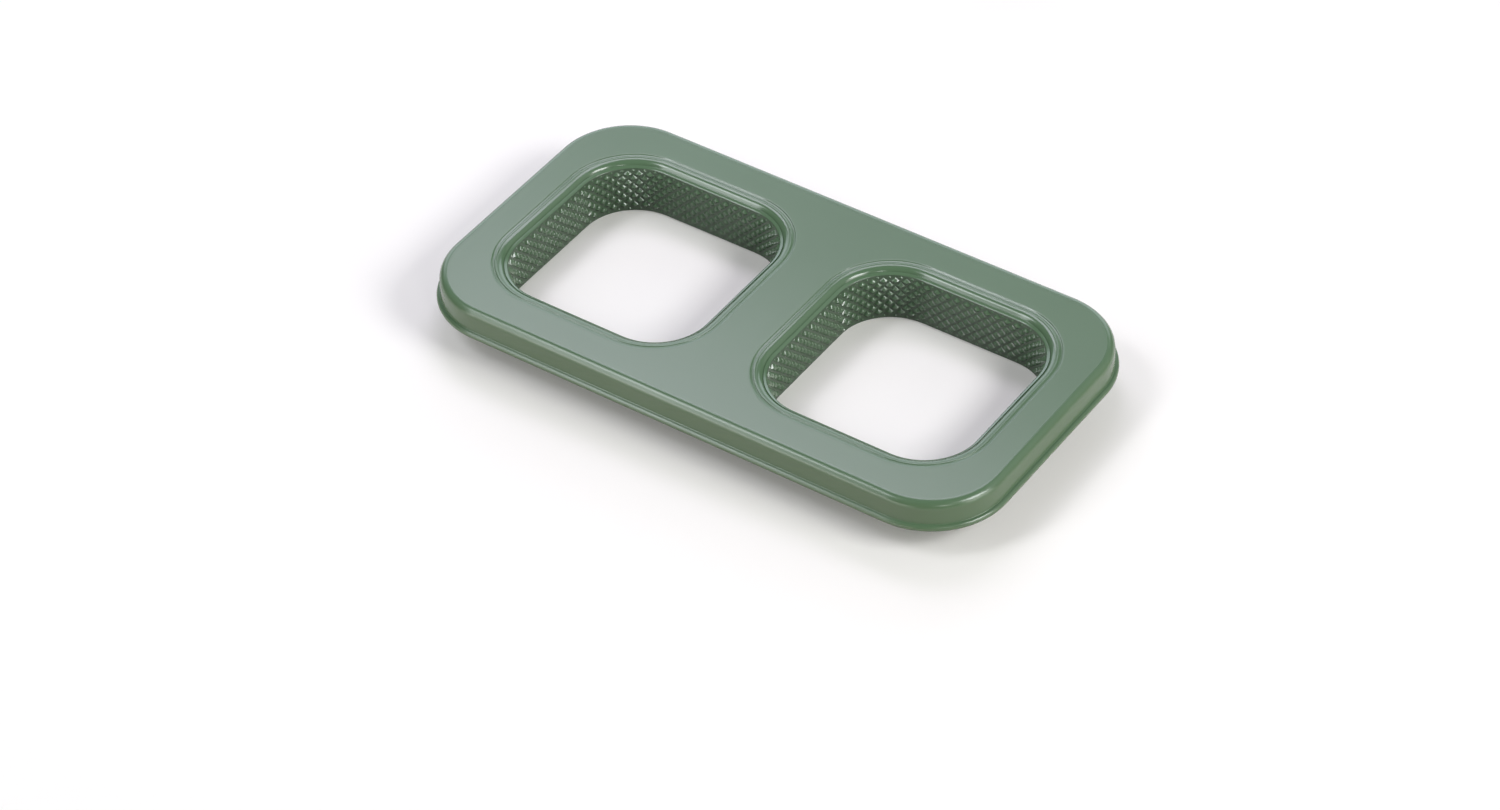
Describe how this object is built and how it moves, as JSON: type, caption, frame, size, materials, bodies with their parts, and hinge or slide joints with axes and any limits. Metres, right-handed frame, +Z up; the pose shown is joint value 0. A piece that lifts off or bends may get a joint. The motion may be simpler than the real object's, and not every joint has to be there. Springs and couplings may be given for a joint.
{
  "type": "rice mold press",
  "caption": "Plastic rice mold frame with rounded-square cavities open at top and bottom, embossed non-stick walls, and a separate hand press that fits the cavities.",
  "frame": {"origin": "on the table, midway between the frame's cavities, in the plane of its feet", "axes": "+X along the frame's long side, +Y across it towards the parked press, +Z up"},
  "size_m": [0.199, 0.321, 0.04],
  "materials": {
    "sage_plastic": "satin",
    "sage_gloss_plastic": "satin"
  },
  "bodies": {
    "mold": {"mold_frame": "sage_plastic"},
    "press": {"press_plate": "sage_plastic", "press_grip": "sage_gloss_plastic"}
  },
  "joints": [
    {"name": "press_lift", "type": "slide", "parent": "mold", "child": "press", "axis": [0, 0, 1], "range_m": [0, 0.06]}
  ]
}
